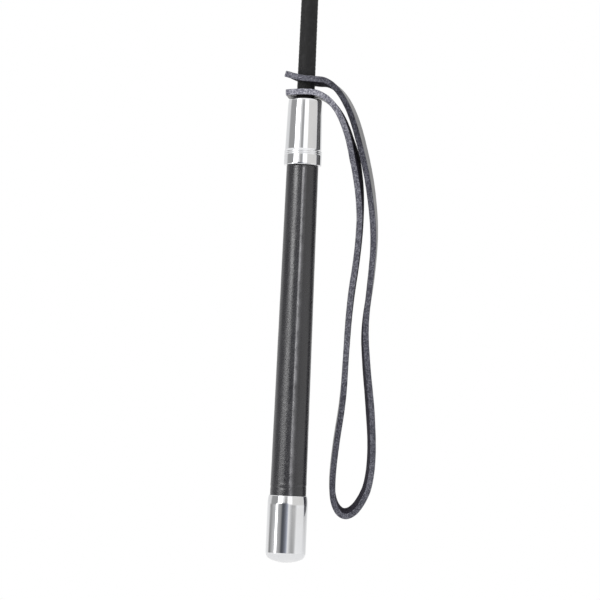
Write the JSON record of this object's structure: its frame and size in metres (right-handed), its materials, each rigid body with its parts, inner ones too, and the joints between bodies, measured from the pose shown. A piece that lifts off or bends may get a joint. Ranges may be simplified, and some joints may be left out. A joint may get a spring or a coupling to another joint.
{
  "type": "riding crop",
  "caption": "Riding crop with a metal butt cap, leather grip, metal ferrule, hanging leather wrist loop, tapered braided shaft and folded leather keeper.",
  "frame": {"origin": "on the crop's axis at the middle of the leather grip, where the hand holds it", "axes": "+Z from the butt to the tip, +X towards the wrist loop, -Y towards the seam side of the grip"},
  "size_m": [0.0518, 0.0192, 0.7],
  "materials": {
    "cap_metal": "polished",
    "ferrule_metal": "polished",
    "grip_leather": "satin",
    "strap_leather": "satin",
    "keeper_leather": "satin",
    "shaft_braid": "matte",
    "thread": "waxed",
    "former": "moulded",
    "rod": "glass fibre"
  },
  "bodies": {
    "crop": {"core_rod": "rod", "shaft_cover": "shaft_braid", "grip_former": "former", "grip_leather": "grip_leather", "lower_grip_binding": "thread", "upper_grip_binding": "thread", "butt_cap": "cap_metal", "ferrule": "ferrule_metal", "keeper_tails": "keeper_leather", "tip_whipping": "thread"},
    "wrist_loop": {"wrist_strap": "strap_leather"},
    "keeper": {"keeper_tongue": "keeper_leather"}
  },
  "joints": [
    {"name": "strap_spin", "type": "hinge", "parent": "crop", "child": "wrist_loop", "pos_m": [0, 0, 0.118], "axis": [0, 0, 1], "continuous": true},
    {"name": "keeper_flex", "type": "hinge", "parent": "crop", "child": "keeper", "pos_m": [0, 0, 0.531], "axis": [1, 0, 0], "range_deg": [-70, 70], "stiffness_Nm_per_rad": 0.03}
  ]
}
